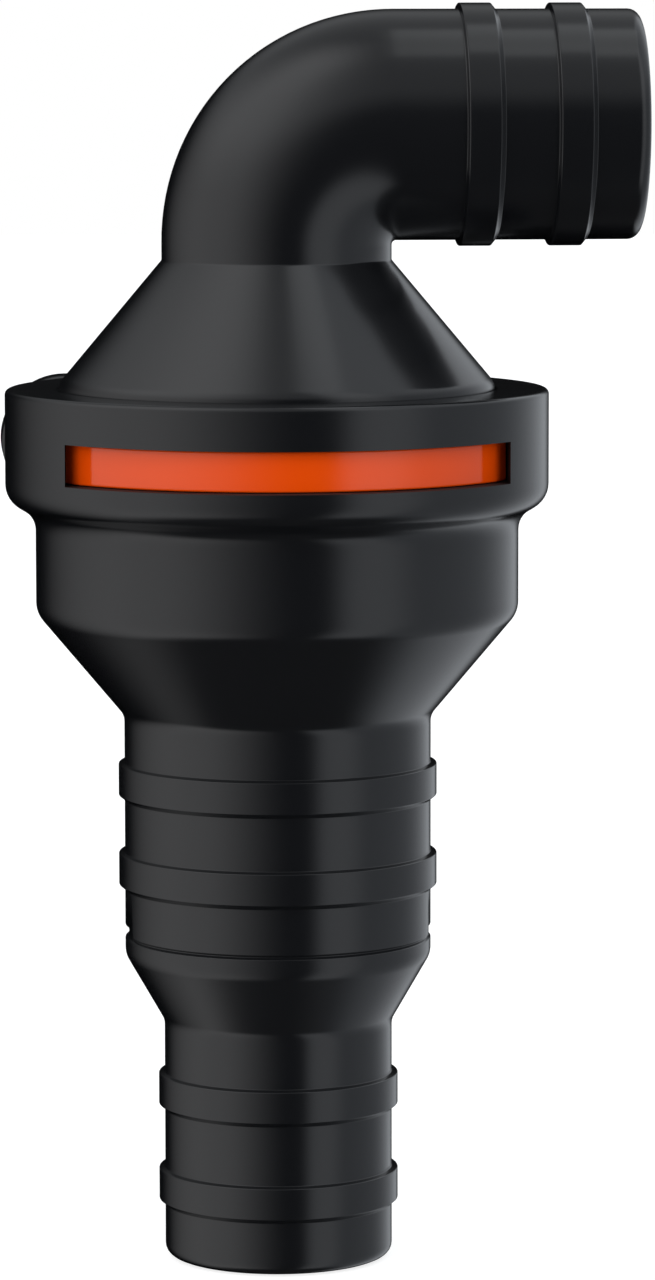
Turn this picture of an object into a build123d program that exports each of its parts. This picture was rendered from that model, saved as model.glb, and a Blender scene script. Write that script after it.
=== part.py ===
from build123d import *
from math import acos, cos, radians, sin, tan
import os

# Non-return valve: a stepped hose tail below, a swing flap inside, a turning 90 degree elbow on top.
# Millimetres. Z runs up the valve axis from the inlet's end face, the outlet points along +X,
# the window slot faces -Y and the mounting plate is at +Y.

# Hose tails
small_tail_radius = 14.2
large_tail_radius = 19.05
tail_wall = 2.6
tip_round = 1.45
barb_height = 0.75
barb_band = 4.05
barb_slope = 0.6

# Inlet, from its end face upwards
small_tail_length = 29.85
small_barb_flanks = (11.25, 23.3)
reducer_angle = 30
large_tail_length = 29.95
large_barb_flanks = (12.85, 24.05)
cut_line_height = 2.0
cut_line_depth = 0.5
cut_line_length = 0.65
reducer_root_round = 2.5
reducer_top_round = 3.0

# Valve body
cone_angle = 40
shell_radius = 29.9
shell_wall = 2.85
shell_height = 11.9
underside_angle = 60
collar_overhang = 3.74
collar_height = 13.55
collar_round = 0.65
cone_root_round = 2.4
cone_top_round = 3.4
underside_round = 3.0
collar_foot_round = 3.2

# Window slot for the clip
slot_sill = 3.15
slot_height = 5.1
slot_side_inset = 0.15
slot_reach = 13.0
cut_overshoot = 1.0

# Mounting plate behind the collar
plate_hole_spacing = 50.5
plate_end_radius = 8.2
plate_centre_drop = 8.45
plate_thickness = 9.0
plate_proud = 0.55
pilot_hole_radius = 2.1
pilot_hole_depth = 7.5

# Elbow head
spigot_clearance = 0.15
spigot_wall = 5.2
shoulder_rise = 0.7
shoulder_round = 2.0
spigot_lead_round = 0.8
riser_length = 1.85
bend_inner_radius = 0.5
outlet_length = 44.83
outlet_barb_flanks = (22.3, 33.5)
clip_groove_depth = 3.3
clip_groove_play = 0.05
o_ring_cord = 2.4
o_ring_groove_width = 3.2
o_ring_wall_gap = 0.05
o_ring_pitch = 5.3
o_ring_below_slot = 3.3

# Retaining clip
clip_setback = 2.3
clip_play_below = 0.08
clip_play_above = 0.15
clip_side_play = 0.2
clip_end_play = 0.5
clip_inner_play = 0.2
clip_tip_chamfer = 0.8

# Seat ring and its gasket
seat_ledge_width = 2.45
seat_ledge_drop = 0.3
gasket_thickness = 1.5
gasket_inset = 0.2
seat_flange = 3.7
seat_lip_width = 1.4
seat_lip_height = 1.0
seat_entry = 2.2
seat_lip_round = 0.4
running_gap = 0.1

# Flap hinge
hinge_inset = 4.1
hinge_rise = 4.6
pin_radius = 1.5
pin_overhang = 0.4
ear_inner = 4.4
ear_thickness = 1.8
ear_radius = 2.7
ear_half_width = 1.8
knuckle_inner = 2.4
knuckle_side_gap = 0.2
bush_wall = 0.55
bush_running_gap = 0.05
flap_opening = 70
stop_length = 6.8
stop_thickness = 1.6
stop_gap = 0.3

# Flap stack
seal_hinge_gap = 1.6
seal_overlap = 0.8
seal_thickness = 2.2
seal_edge_round = 0.4
arm_plate_inset = 2.5
arm_plate_thickness = 2.0
arm_rib_height = 1.2
arm_rib_end_gap = 1.7
clamp_clearance = 2.3
clamp_thickness = 1.5
screw_radius = 2.0
screw_hole_gap = 0.05
screw_head_radius = 3.6
screw_head_height = 1.9
screw_slot_width = 1.0
screw_slot_depth = 0.9
screw_end = 1.0
screw_head_round = 0.8
washer_radius = 3.9
washer_thickness = 0.8
nut_flats = 7.0
nut_height = 3.2

# Return spring
wire_radius = 0.35
coil_gap = 0.4
coil_half_width = 1.85
coil_turns = 4
coil_points_per_turn = 16
moving_leg_end_gap = 1.4

# Heights and radii that follow from the sizes above
reducer_bottom = small_tail_length
reducer_top = reducer_bottom + (large_tail_radius - small_tail_radius) / tan(radians(reducer_angle))
cone_bottom = reducer_top + large_tail_length
cone_top = cone_bottom + (shell_radius - large_tail_radius) / tan(radians(cone_angle))
underside_bottom = cone_top + shell_height
collar_radius = shell_radius + collar_overhang
collar_bottom = underside_bottom + collar_overhang / tan(radians(underside_angle))
underside_room = collar_overhang / sin(radians(underside_angle)) / tan(radians(underside_angle) / 2)
collar_top = collar_bottom + collar_height
cut_line = reducer_top + cut_line_height
slot_bottom = collar_bottom + slot_sill
slot_top = slot_bottom + slot_height
small_bore = small_tail_radius - tail_wall
large_bore = large_tail_radius - tail_wall
body_bore = shell_radius - shell_wall
slot_half_width = body_bore - slot_side_inset
bore_step = reducer_bottom + tail_wall * tan(radians(reducer_angle) / 2)
bore_step_top = bore_step + (large_bore - small_bore) / tan(radians(reducer_angle))
funnel_bottom = cone_bottom + tail_wall * tan(radians(cone_angle) / 2)
ledge = cone_top - seat_ledge_drop
ledge_radius = body_bore - seat_ledge_width
plate_centre = collar_top - plate_centre_drop
plate_back = collar_radius + plate_proud
spigot_radius = body_bore - spigot_clearance
spigot_bore = spigot_radius - spigot_wall
gasket_top = ledge + gasket_thickness
flange_top = gasket_top + seat_flange
spigot_bottom = flange_top + running_gap
shoulder_height = collar_top + shoulder_rise
head_cone_top = shoulder_height + (spigot_radius - small_tail_radius) / tan(radians(cone_angle))
bend_start = head_cone_top + riser_length
bend_radius = small_tail_radius + bend_inner_radius
outlet_height = bend_start + bend_radius
head_funnel_top = head_cone_top - tail_wall * tan(radians(cone_angle) / 2)
head_funnel_bottom = head_funnel_top - (spigot_bore - small_bore) / tan(radians(cone_angle))
o_ring_groove_radius = body_bore - o_ring_wall_gap - o_ring_cord
o_ring_heights = (slot_bottom - o_ring_below_slot - o_ring_pitch, slot_bottom - o_ring_below_slot)
clip_bottom = slot_bottom + clip_play_below
clip_top = slot_top - clip_play_above
clip_radius = collar_radius - clip_setback
clip_half_width = slot_half_width - clip_side_play
clip_groove_radius = spigot_radius - clip_groove_depth
clip_inner_radius = clip_groove_radius + clip_inner_play
clip_arm_end = slot_reach - clip_end_play
hinge_offset = spigot_bore - hinge_inset
seal_radius = hinge_offset - seal_hinge_gap
seat_lip_radius = seal_radius - seal_overlap
seat_bore_radius = seat_lip_radius - seat_lip_width
arm_plate_radius = seal_radius - arm_plate_inset
arm_rib_reach = hinge_offset - washer_radius - arm_rib_end_gap
moving_leg_reach = arm_rib_reach - moving_leg_end_gap
clamp_radius = seat_bore_radius - clamp_clearance
seal_bottom = flange_top + seat_lip_height
seal_top = seal_bottom + seal_thickness
arm_top = seal_top + arm_plate_thickness
hinge_height = seal_bottom + hinge_rise
screw_hole = screw_radius + screw_hole_gap
clamp_bottom = seal_bottom - clamp_thickness
nut_top = arm_top + washer_thickness + nut_height
bush_radius = pin_radius + bush_running_gap + bush_wall
knuckle_outer = ear_inner - knuckle_side_gap
coil_radius = pin_radius + coil_gap + wire_radius


def barb(radius, flank, way):
    """The corners of a hose barb on a turned profile, from its flat flank to the foot of its slope."""
    crest = radius + barb_height
    return [(radius, flank), (crest, flank), (crest, flank + way * barb_band),
            (radius, flank + way * (barb_band + barb_slope))]


def groove(bottom, width, floor_radius):
    """The corners of a square groove on the spigot's side, from the bottom up."""
    return [(spigot_radius, bottom), (floor_radius, bottom),
            (floor_radius, bottom + width), (spigot_radius, bottom + width)]


def round_corner(profile, radius, height, size):
    """Rounds the corner of a turned profile that lies at this radius and height."""
    fillet(profile.vertices().sort_by_distance((radius, height))[0], size)


def hinge_plane(y):
    """A plane across the hinge pin, with its X towards the seat's middle and its Y up."""
    return Plane(origin=(-hinge_offset, y, hinge_height), x_dir=(1, 0, 0), z_dir=(0, -1, 0))


def open_stop_outline():
    """A finger on an ear, behind the back of the fully open flap's plate."""
    lean = radians(flap_opening)
    plate_face = arm_top - hinge_height
    front = plate_face + stop_gap
    along = Vector(cos(lean), sin(lean))
    across = Vector(-sin(lean), cos(lean))
    points = [along * reach + across * offset
              for reach, offset in ((0, front), (stop_length, front),
                                    (stop_length, front + stop_thickness), (0, front + stop_thickness))]
    return [(point.X, point.Y) for point in points]


def arm_rib_outline():
    """The rib that joins a knuckle to the flap's plate."""
    bottom = seal_top - hinge_height
    top = arm_top + arm_rib_height - hinge_height
    return [(0, bottom), (arm_rib_reach, bottom), (arm_rib_reach, arm_top - hinge_height), (0, top)]


def spring_path():
    """Points on the return spring's wire, from its leg on the seat ring to its leg on the flap's plate."""
    lean = acos(coil_radius / moving_leg_reach)
    sweep_angle = radians(180) + radians(360) * coil_turns - lean
    steps = coil_points_per_turn * coil_turns + coil_points_per_turn // 4
    points = [(-coil_radius, -coil_half_width, flange_top - hinge_height),
              (-coil_radius, -coil_half_width, (flange_top - hinge_height) / 2)]
    for step in range(steps + 1):
        share = step / steps
        turn = radians(180) - sweep_angle * share
        points.append((coil_radius * cos(turn), coil_half_width * (2 * share - 1), coil_radius * sin(turn)))
    last_x, last_y, last_z = points[-1]
    points.append(((last_x + moving_leg_reach) / 2, last_y, last_z / 2))
    points.append((moving_leg_reach, last_y, 0))
    return [(x - hinge_offset, y, z + hinge_height) for x, y, z in points]


# Lower body: turned about Z, with the mounting plate, the bores and the window slot
with BuildPart() as lower_body:
    with BuildSketch(Plane.XZ) as outside:
        small_barbs = [barb(small_tail_radius, flank, -1)[::-1] for flank in small_barb_flanks]
        large_barbs = [barb(large_tail_radius, reducer_top + flank, -1)[::-1] for flank in large_barb_flanks]
        with BuildLine():
            Polyline(
                (0, 0), (small_tail_radius, 0), *small_barbs[0], *small_barbs[1],
                (small_tail_radius, reducer_bottom), (large_tail_radius, reducer_top),
                (large_tail_radius, cut_line),
                (large_tail_radius - cut_line_depth, cut_line + cut_line_length / 2),
                (large_tail_radius, cut_line + cut_line_length), *large_barbs[0], *large_barbs[1],
                (large_tail_radius, cone_bottom), (shell_radius, cone_top),
                (shell_radius, underside_bottom), (collar_radius, collar_bottom),
                (collar_radius, collar_top), (0, collar_top), close=True)
        make_face()
        round_corner(outside, small_tail_radius, 0, tip_round)
        round_corner(outside, small_tail_radius, reducer_bottom, reducer_root_round)
        round_corner(outside, large_tail_radius, reducer_top, reducer_top_round)
        round_corner(outside, large_tail_radius, cone_bottom, cone_root_round)
        round_corner(outside, shell_radius, cone_top, cone_top_round)
        round_corner(outside, shell_radius, underside_bottom, min(underside_round, 0.44 * underside_room))
        round_corner(outside, collar_radius, collar_bottom, min(collar_foot_round, 0.54 * underside_room))
        round_corner(outside, collar_radius, collar_top, collar_round)
    revolve(axis=Axis.Z)
    with BuildSketch(Plane.XZ.offset(-plate_back)):
        with Locations((0, plate_centre)):
            SlotCenterToCenter(plate_hole_spacing, 2 * plate_end_radius)
    extrude(amount=plate_thickness)
    with BuildSketch(Plane.XZ):
        with BuildLine():
            Polyline(
                (0, 0), (small_bore, 0), (small_bore, bore_step), (large_bore, bore_step_top),
                (large_bore, funnel_bottom), (ledge_radius, ledge), (body_bore, ledge),
                (body_bore, collar_top), (0, collar_top), close=True)
        make_face()
    revolve(axis=Axis.Z, mode=Mode.SUBTRACT)
    with BuildSketch(Plane.XY.offset(slot_bottom)):
        slot_length = collar_radius + cut_overshoot + slot_reach
        with Locations((0, slot_reach - slot_length / 2)):
            Rectangle(2 * slot_half_width, slot_length)
    extrude(amount=slot_height, mode=Mode.SUBTRACT)
    with BuildSketch(Plane.XZ.offset(-plate_back)):
        with Locations((-plate_hole_spacing / 2, plate_centre), (plate_hole_spacing / 2, plate_centre)):
            Circle(pilot_hole_radius)
    extrude(amount=pilot_hole_depth, mode=Mode.SUBTRACT)

# Outlet elbow: a hollow quarter bend, its hose tail, then the turned cone and spigot below
with BuildPart() as outlet_elbow:
    with BuildSketch(Plane.XY.offset(bend_start)):
        Circle(small_tail_radius)
        Circle(small_bore, mode=Mode.SUBTRACT)
    revolve(axis=Axis((bend_radius, 0, bend_start), (0, 1, 0)), revolution_arc=90)
    with BuildSketch(Plane(origin=(0, 0, outlet_height), x_dir=(0, 0, 1), z_dir=(0, 1, 0))) as tail:
        tail_barbs = [barb(small_tail_radius, flank, 1) for flank in outlet_barb_flanks]
        with BuildLine():
            Polyline(
                (small_bore, bend_radius), (small_tail_radius, bend_radius), *tail_barbs[0], *tail_barbs[1],
                (small_tail_radius, outlet_length), (small_bore, outlet_length), close=True)
        make_face()
        round_corner(tail, small_tail_radius, outlet_length, tip_round)
    revolve(axis=Axis((0, 0, outlet_height), (1, 0, 0)))
    with BuildSketch(Plane.XZ) as head:
        ring_grooves = [groove(height - o_ring_groove_width / 2, o_ring_groove_width, o_ring_groove_radius)
                        for height in o_ring_heights]
        clip_groove = groove(slot_bottom - clip_groove_play, slot_height + 2 * clip_groove_play,
                             clip_groove_radius)
        with BuildLine():
            Polyline(
                (spigot_bore, spigot_bottom), (spigot_radius, spigot_bottom),
                *ring_grooves[0], *ring_grooves[1], *clip_groove, (spigot_radius, shoulder_height),
                (small_tail_radius, head_cone_top), (small_tail_radius, bend_start), (small_bore, bend_start),
                (small_bore, head_funnel_top), (spigot_bore, head_funnel_bottom), close=True)
        make_face()
        round_corner(head, spigot_radius, spigot_bottom, spigot_lead_round)
        round_corner(head, spigot_radius, shoulder_height, shoulder_round)
    revolve(axis=Axis.Z)

# Retaining clip: a flat U whose round front shows in the window and whose arms grip the spigot's groove
with BuildPart() as retaining_clip:
    with BuildSketch(Plane.XY.offset(clip_bottom)):
        Circle(clip_radius)
        with Locations((0, -clip_radius / 2)):
            Rectangle(2 * clip_half_width, clip_radius, mode=Mode.INTERSECT)
        with Locations((0, clip_arm_end / 2)):
            Rectangle(2 * clip_half_width, clip_arm_end)
        Circle(clip_inner_radius, mode=Mode.SUBTRACT)
        with Locations((0, clip_radius / 2)):
            Rectangle(2 * clip_inner_radius, clip_radius, mode=Mode.SUBTRACT)
    extrude(amount=clip_top - clip_bottom)
    arm_tips = retaining_clip.edges().filter_by(Axis.Z).group_by(Axis.Y)[-1]
    chamfer(arm_tips, clip_tip_chamfer)

# Seals in the spigot's two grooves
spigot_o_rings = []
for height in o_ring_heights:
    with BuildPart() as o_ring:
        with BuildSketch(Plane.XZ):
            with Locations((o_ring_groove_radius + o_ring_cord / 2, height)):
                Circle(o_ring_cord / 2)
        revolve(axis=Axis.Z)
    spigot_o_rings.append(o_ring.part)

# Gasket and seat ring, stacked on the ledge below the spigot
with BuildPart() as seat_gasket:
    with BuildSketch(Plane.XY.offset(ledge)):
        Circle(body_bore - gasket_inset)
        Circle(ledge_radius + gasket_inset, mode=Mode.SUBTRACT)
    extrude(amount=gasket_thickness)

with BuildPart() as seat_ring:
    with BuildSketch(Plane.XZ) as section:
        with BuildLine():
            Polyline(
                (seat_bore_radius + seat_entry, gasket_top), (body_bore - gasket_inset, gasket_top),
                (body_bore - gasket_inset, flange_top), (seat_lip_radius, flange_top),
                (seat_lip_radius, seal_bottom), (seat_bore_radius, seal_bottom),
                (seat_bore_radius, gasket_top + seat_entry), close=True)
        make_face()
        round_corner(section, seat_lip_radius, seal_bottom, seat_lip_round)
    revolve(axis=Axis.Z)
    for side in (-1, 1):
        with BuildSketch(hinge_plane(side * (ear_inner + ear_thickness / 2))):
            Circle(ear_radius)
            with Locations((0, (flange_top - hinge_height) / 2)):
                Rectangle(2 * ear_half_width, hinge_height - flange_top)
            with BuildLine():
                Polyline(*open_stop_outline(), close=True)
            make_face()
            Circle(pin_radius, mode=Mode.SUBTRACT)
        extrude(amount=ear_thickness / 2, both=True)

with BuildPart() as hinge_pin:
    with BuildSketch(hinge_plane(0)):
        Circle(pin_radius)
    extrude(amount=ear_inner + ear_thickness + pin_overhang, both=True)

# Flap: a plate with two bushed knuckles on the pin
with BuildPart() as flap_arm:
    with BuildSketch(Plane.XY.offset(seal_top)):
        Circle(arm_plate_radius)
    extrude(amount=arm_plate_thickness)
    for side in (-1, 1):
        with BuildSketch(hinge_plane(side * (knuckle_inner + knuckle_outer) / 2)):
            Circle(ear_radius)
            with BuildLine():
                Polyline(*arm_rib_outline(), close=True)
            make_face()
        extrude(amount=(knuckle_outer - knuckle_inner) / 2, both=True)
    with BuildSketch(hinge_plane(0)):
        Circle(bush_radius)
    extrude(amount=knuckle_outer, both=True, mode=Mode.SUBTRACT)
    with BuildSketch(Plane.XY.offset(seal_top)):
        Circle(screw_hole)
    extrude(amount=arm_plate_thickness, mode=Mode.SUBTRACT)

with BuildPart() as flap_bushes:
    for side in (-1, 1):
        with BuildSketch(hinge_plane(side * (knuckle_inner + knuckle_outer) / 2)):
            Circle(bush_radius)
            Circle(pin_radius + bush_running_gap, mode=Mode.SUBTRACT)
        extrude(amount=(knuckle_outer - knuckle_inner) / 2, both=True)

with BuildPart() as flap_seal:
    with BuildSketch(Plane.XY.offset(seal_bottom)):
        Circle(seal_radius)
    extrude(amount=seal_thickness)
    fillet(flap_seal.edges().filter_by(GeomType.CIRCLE), seal_edge_round)
    with BuildSketch(Plane.XY.offset(seal_bottom)):
        Circle(screw_hole)
    extrude(amount=seal_thickness, mode=Mode.SUBTRACT)

with BuildPart() as flap_clamp_disc:
    with BuildSketch(Plane.XY.offset(seal_bottom)):
        Circle(clamp_radius)
        Circle(screw_hole, mode=Mode.SUBTRACT)
    extrude(amount=-clamp_thickness)

# Centre screw with its washer and nut
with BuildPart() as flap_screw:
    with BuildSketch(Plane.XY.offset(clamp_bottom)):
        Circle(screw_head_radius)
    extrude(amount=-screw_head_height)
    fillet(flap_screw.edges().group_by(Axis.Z)[0], screw_head_round)
    with BuildSketch(Plane.XY.offset(clamp_bottom)):
        Circle(screw_radius)
    extrude(amount=nut_top + screw_end - clamp_bottom)
    with BuildSketch(Plane.XY.offset(clamp_bottom - screw_head_height)):
        Rectangle(2 * screw_head_radius, screw_slot_width)
    extrude(amount=screw_slot_depth, mode=Mode.SUBTRACT)

with BuildPart() as flap_washer:
    with BuildSketch(Plane.XY.offset(arm_top)):
        Circle(washer_radius)
        Circle(screw_hole, mode=Mode.SUBTRACT)
    extrude(amount=washer_thickness)

with BuildPart() as flap_nut:
    with BuildSketch(Plane.XY.offset(arm_top + washer_thickness)):
        RegularPolygon(nut_flats / 2, 6, major_radius=False)
        Circle(screw_hole, mode=Mode.SUBTRACT)
    extrude(amount=nut_height)

# Return spring: a coil round the pin, one leg on the seat ring and the other on the flap's plate
with BuildPart() as return_spring:
    with BuildLine() as wire:
        Spline(*spring_path())
    with BuildSketch(Plane(origin=wire.line @ 0, z_dir=(0, 0, 1))):
        Circle(wire_radius)
    sweep()

pieces = {
    "lower_body": lower_body.part,
    "outlet_elbow": outlet_elbow.part,
    "retaining_clip": retaining_clip.part,
    "spigot_o_ring_lower": spigot_o_rings[0],
    "spigot_o_ring_upper": spigot_o_rings[1],
    "seat_gasket": seat_gasket.part,
    "seat_ring": seat_ring.part,
    "hinge_pin": hinge_pin.part,
    "flap_arm": flap_arm.part,
    "flap_bushes": flap_bushes.part,
    "flap_seal": flap_seal.part,
    "flap_clamp_disc": flap_clamp_disc.part,
    "flap_screw": flap_screw.part,
    "flap_washer": flap_washer.part,
    "flap_nut": flap_nut.part,
    "return_spring": return_spring.part,
}

os.makedirs("parts", exist_ok=True)
for name, piece in pieces.items():
    piece.label = name
    export_step(piece, f"parts/{name}.step")
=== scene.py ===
import bmesh
import bpy
import numpy as np
from math import pi, radians
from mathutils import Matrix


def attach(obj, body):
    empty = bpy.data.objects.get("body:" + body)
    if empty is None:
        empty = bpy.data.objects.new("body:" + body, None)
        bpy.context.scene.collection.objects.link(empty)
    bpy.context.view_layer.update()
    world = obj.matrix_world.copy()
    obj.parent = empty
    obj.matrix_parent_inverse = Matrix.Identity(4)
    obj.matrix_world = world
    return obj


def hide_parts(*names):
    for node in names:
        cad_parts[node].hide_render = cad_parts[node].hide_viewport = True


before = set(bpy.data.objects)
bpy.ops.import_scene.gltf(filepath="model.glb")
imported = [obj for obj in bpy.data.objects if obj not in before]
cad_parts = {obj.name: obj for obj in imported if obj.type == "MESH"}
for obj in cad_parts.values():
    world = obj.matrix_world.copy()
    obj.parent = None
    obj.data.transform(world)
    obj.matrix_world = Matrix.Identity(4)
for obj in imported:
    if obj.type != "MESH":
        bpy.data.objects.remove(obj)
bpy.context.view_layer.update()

# Camera: it looks at the middle of the valve, from a little above the elbow and a little to the left,
# with a long lens, so that upright edges stay almost parallel.
camera_place = (-0.0491, -0.7216, 0.1585)
camera_tilt_down = 6.40
camera_turn_right = 4.394
camera_roll = 0.0745
camera_lens = 164.78

camera = bpy.data.objects.new("camera", bpy.data.cameras.new("camera"))
camera.data.sensor_fit = "VERTICAL"
camera.data.sensor_height = 36
camera.data.lens = camera_lens
camera.location = camera_place
camera.rotation_euler = (radians(90 - camera_tilt_down), radians(camera_roll), radians(-camera_turn_right))
bpy.context.scene.collection.objects.link(camera)
bpy.context.scene.camera = camera
bpy.context.scene.view_settings.view_transform = "Standard"

# Studio light: a world with a soft box at the left, three at the right, a dim dome and a glow from below,
# a real panel overhead, and two wide lamps that only the colours see. Azimuths are degrees from the front
# towards the outlet's side, and elevations are above the horizon.
light_level = 1.0
panel_power = 0.039
panel_size = (0.10, 0.20)
panel_place = (0.080, 0, 0.441)
panel_colour = (0.96, 0.99, 1.0)
fill_powers = (18.4, 13.0)
fill_width = 1.2
fill_places = ((-1.15, -1.64, 0.42), (1.15, -1.64, 0.42))
fill_tilt = 81
low_fade = 20
high_fade = 25


def add_node(tree, kind, inputs=None, **options):
    """Adds a shader node, sets its options, and fills its inputs with values or other nodes' outputs."""
    made = tree.nodes.new(kind)
    for option, value in options.items():
        setattr(made, option, value)
    for socket, value in (inputs or {}).items():
        if isinstance(value, bpy.types.NodeSocket):
            tree.links.new(value, made.inputs[socket])
        else:
            made.inputs[socket].default_value = value
    return made


def math_node(tree, operation, *values):
    """Adds a Math node with these values or sockets, and returns its output."""
    return add_node(tree, "ShaderNodeMath", dict(enumerate(values)), operation=operation).outputs[0]


def smooth_step(tree, value, start, end):
    """Rises smoothly from 0 where the value is at start to 1 where it is at end."""
    inputs = {"Value": value, "From Min": start, "From Max": end}
    step = add_node(tree, "ShaderNodeMapRange", inputs, interpolation_type="SMOOTHSTEP")
    return step.outputs["Result"]


studio = bpy.data.worlds.new("studio")
bpy.context.scene.world = studio
studio.use_nodes = True
sky = studio.node_tree
sky.nodes.clear()
direction = add_node(sky, "ShaderNodeTexCoord").outputs["Generated"]
towards = add_node(sky, "ShaderNodeSeparateXYZ", {0: direction}).outputs
front = math_node(sky, "MULTIPLY", towards["Y"], -1.0)
azimuth = math_node(sky, "DEGREES", math_node(sky, "ARCTAN2", towards["X"], front))
elevation = math_node(sky, "DEGREES", math_node(sky, "ARCSINE", towards["Z"]))


def soft_box(left, left_edge, right, right_edge, low, high, colour):
    """Light of this colour, even between the azimuths left and right and from low to high, that falls off
    smoothly over its left and right edge, and over the fades below low and above high."""
    rise = smooth_step(sky, azimuth, left - left_edge, left)
    fall = smooth_step(sky, azimuth, right + right_edge, right)
    bottom = smooth_step(sky, elevation, low - low_fade, low)
    top = smooth_step(sky, elevation, high + high_fade, high)
    across = math_node(sky, "MULTIPLY", rise, fall)
    upright = math_node(sky, "MULTIPLY", bottom, top)
    amount = math_node(sky, "MULTIPLY", across, upright)
    return add_node(sky, "ShaderNodeVectorMath", {0: colour, "Scale": amount}, operation="SCALE").outputs[0]


def overhead(start, end, colour):
    """Light of this colour from every azimuth, that grows smoothly from the elevation start to end."""
    amount = smooth_step(sky, elevation, start, end)
    return add_node(sky, "ShaderNodeVectorMath", {0: colour, "Scale": amount}, operation="SCALE").outputs[0]


soft_boxes = [
    soft_box(-80, 74, -64, 71, -48, 67, (1.05, 1.05, 1.06)),
    soft_box(32, 13, 152, 10, -48, 62, (0.47, 0.50, 0.54)),
    soft_box(38, 22, 47, 22, -48, 62, (0.38, 0.38, 0.38)),
    soft_box(146, 44, 152, 10, -48, 25, (0.29, 0.30, 0.31)),
    overhead(12, 38, (0.36, 0.37, 0.38)),
    overhead(-52, -70, (0.042, 0.042, 0.042)),
]
glow = soft_boxes[0]
for box_light in soft_boxes[1:]:
    glow = add_node(sky, "ShaderNodeVectorMath", {0: glow, 1: box_light}, operation="ADD").outputs[0]
lit = add_node(sky, "ShaderNodeBackground", {"Color": glow, "Strength": light_level})
white = add_node(sky, "ShaderNodeBackground", {"Color": (1, 1, 1, 1), "Strength": 1.0})
seen = add_node(sky, "ShaderNodeLightPath").outputs["Is Camera Ray"]
shown_sky = add_node(sky, "ShaderNodeMixShader", {0: seen, 1: lit.outputs[0], 2: white.outputs[0]})
add_node(sky, "ShaderNodeOutputWorld", {"Surface": shown_sky.outputs[0]})
panel = bpy.data.objects.new("overhead_panel", bpy.data.lights.new("overhead_panel", "AREA"))
panel.data.shape = "RECTANGLE"
panel.data.size, panel.data.size_y = panel_size
panel.data.energy = panel_power
panel.data.color = panel_colour
panel.location = panel_place
panel.visible_camera = False
bpy.context.scene.collection.objects.link(panel)
for name, place, power in zip(("fill_left", "fill_right"), fill_places, fill_powers):
    fill = bpy.data.objects.new(name, bpy.data.lights.new(name, "AREA"))
    fill.data.size = fill_width
    fill.data.energy = power
    fill.location = place
    fill.rotation_euler = (radians(fill_tilt), 0, np.arctan2(place[0], -place[1]))
    fill.visible_glossy = False
    fill.visible_camera = False
    bpy.context.scene.collection.objects.link(fill)

# Floor: a pale round table top under the inlet's end. Its glow makes it white to the camera, so that of
# the valve's shadow only a thin rim under the end is left; the black plastic doesn't mirror it.
floor_radius = 3.0
floor_drop = 0.0002
floor_brightness = 0.78
floor_rings = np.linspace(0, floor_radius, 25)
floor_turn = np.linspace(0, 2 * pi, 96, endpoint=False)
floor_points = np.stack([np.outer(floor_rings, np.cos(floor_turn)),
                         np.outer(floor_rings, np.sin(floor_turn)),
                         np.full((floor_rings.size, floor_turn.size), -floor_drop)], axis=-1)


def mesh_object(name, points, closed_across=True, closed_round=True, scale=1.0):
    """Turns a grid of points (rows across, columns round) into a mesh of four-sided faces.

    A row or column that is closed joins its last points to its first. Points that meet at a pole
    or a seam are merged, the faces are turned outwards, and edges over 30 degrees stay sharp.
    """
    across, around = points.shape[:2]
    grid = np.arange(across * around).reshape(across, around)
    rows = across if closed_across else across - 1
    columns = around if closed_round else around - 1
    row = np.arange(rows)[:, None]
    column = np.arange(columns)[None, :]
    next_row = (row + 1) % across
    next_column = (column + 1) % around
    faces = np.stack([grid[row, column], grid[row, next_column],
                      grid[next_row, next_column], grid[next_row, column]], axis=-1)
    mesh = bpy.data.meshes.new(name)
    mesh.from_pydata((points.reshape(-1, 3) * scale).tolist(), [], faces.reshape(-1, 4).tolist())
    finish_mesh(mesh)
    made = bpy.data.objects.new(name, mesh)
    bpy.context.scene.collection.objects.link(made)
    return made


def finish_mesh(mesh):
    """Merges points that meet, turns the faces outwards, and shades them smooth up to 30 degrees."""
    work = bmesh.new()
    work.from_mesh(mesh)
    bmesh.ops.remove_doubles(work, verts=work.verts, dist=1e-7)
    bmesh.ops.recalc_face_normals(work, faces=work.faces)
    work.to_mesh(mesh)
    work.free()
    mesh.shade_smooth()
    mesh.set_sharp_from_angle(angle=radians(30))


floor = mesh_object("floor", floor_points, closed_across=False)
floor.visible_glossy = False
floor_finish = bpy.data.materials.new("pale_floor")
floor_finish.use_nodes = True
floor_tree = floor_finish.node_tree
floor_tree.nodes.clear()
floor_seen = add_node(floor_tree, "ShaderNodeLightPath").outputs["Is Camera Ray"]
floor_glow = math_node(floor_tree, "MULTIPLY", floor_seen, floor_brightness)
floor_shade = add_node(floor_tree, "ShaderNodeBsdfPrincipled",
                       {"Base Color": (0.5, 0.5, 0.5, 1), "Roughness": 0.9, "Specular IOR Level": 0.0,
                        "Emission Color": (1, 1, 1, 1), "Emission Strength": floor_glow})
add_node(floor_tree, "ShaderNodeOutputMaterial", {"Surface": floor_shade.outputs[0]})
floor.data.materials.append(floor_finish)

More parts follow.
